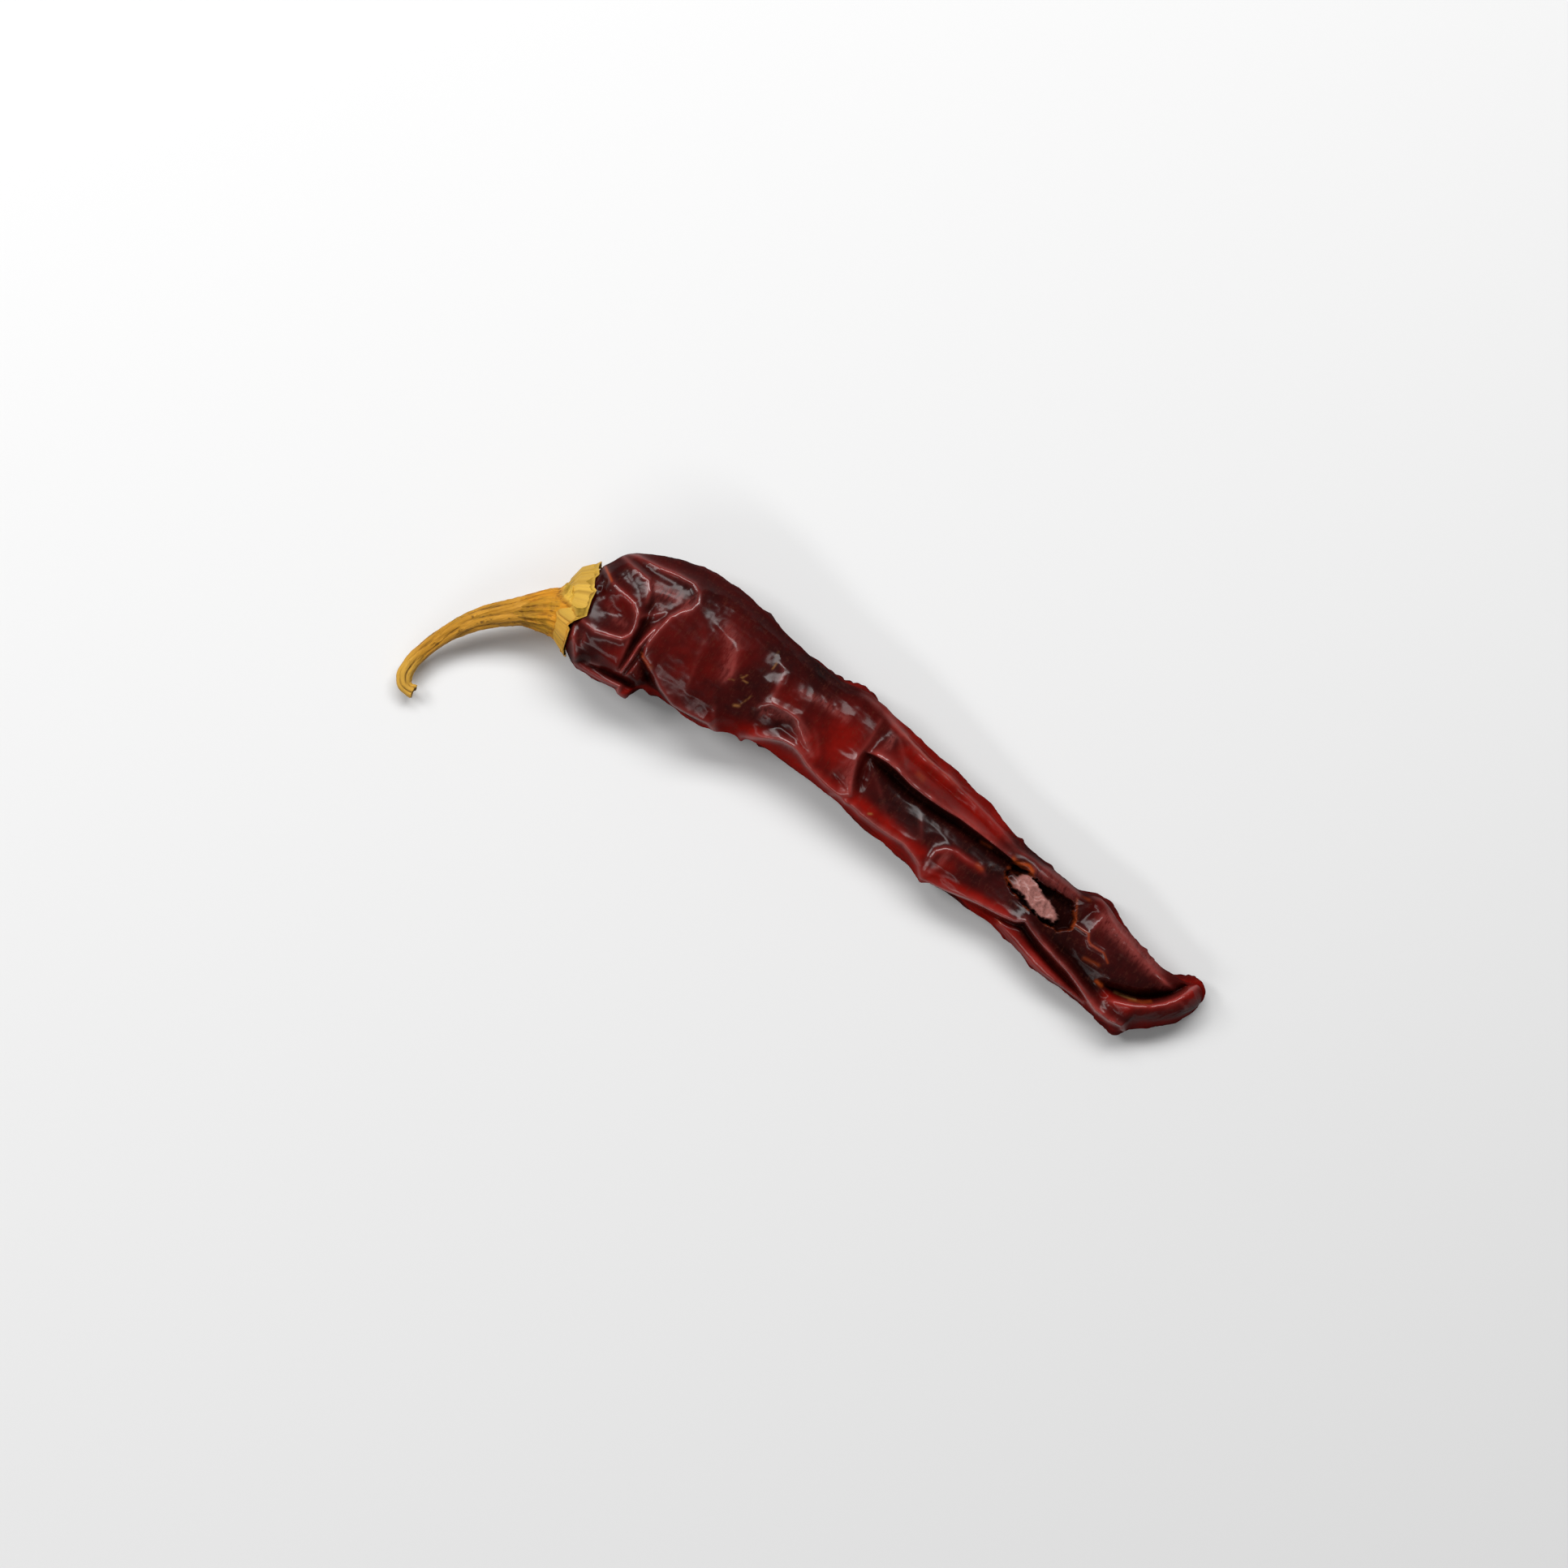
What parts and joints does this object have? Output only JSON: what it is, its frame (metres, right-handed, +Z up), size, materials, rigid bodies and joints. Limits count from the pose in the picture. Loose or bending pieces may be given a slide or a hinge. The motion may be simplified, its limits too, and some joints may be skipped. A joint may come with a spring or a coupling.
{
  "type": "dried chilli pepper",
  "caption": "Whole dried chilli pepper lying on its side: long creased leathery pod with a curled tip, papery calyx and hooked stem.",
  "frame": {"origin": "on the table, under the middle of the whole pepper's box, stem included", "axes": "+X runs from the calyx towards the pod's tip, +Y towards the pod's fuller side in plan, away from the stem's hook, and +Z is up"},
  "size_m": [0.133, 0.0442, 0.0149],
  "materials": {
    "pod_skin": "glossy, dark maroon dried skin, red where thin",
    "calyx": "matte, papery, greenish yellow",
    "stem": "matte, fibrous, ochre with brown streaks"
  },
  "bodies": {
    "root": {"pod": "pod_skin", "calyx": "calyx", "stem": "stem"}
  },
  "joints": []
}
